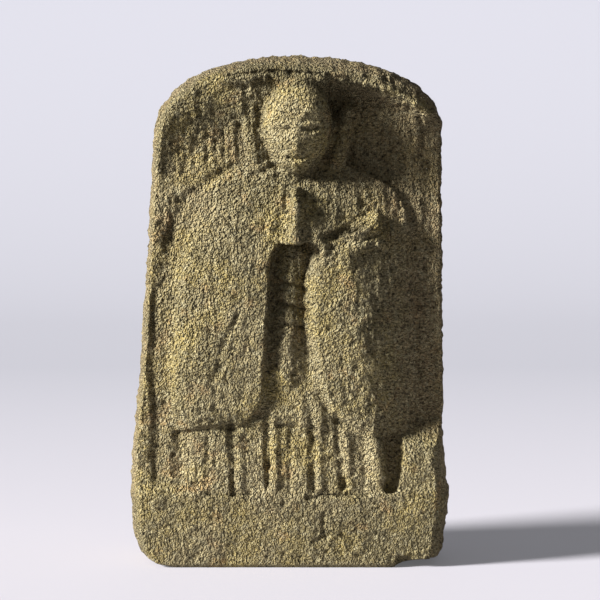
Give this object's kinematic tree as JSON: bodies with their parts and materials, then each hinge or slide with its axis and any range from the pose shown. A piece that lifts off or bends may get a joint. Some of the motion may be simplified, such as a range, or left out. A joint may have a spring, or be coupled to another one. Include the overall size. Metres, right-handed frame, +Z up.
{
  "type": "stone jizo statue",
  "caption": "Small upright stone stele with a rounded top, its sunken front carved with a standing robed figure with joined palms above a plain foot band.",
  "frame": {"origin": "centre of the part's box, on the underside that it stands on", "axes": "+Z up, +X to the right of a viewer in front, -Y out of the carved front"},
  "size_m": [0.1264, 0.0556, 0.2],
  "materials": {
    "tuff": "coarse grained volcanic tuff, tooled and weathered, olive grey with ochre stains"
  },
  "bodies": {
    "root": {"jizo_stele": "tuff"}
  },
  "joints": []
}
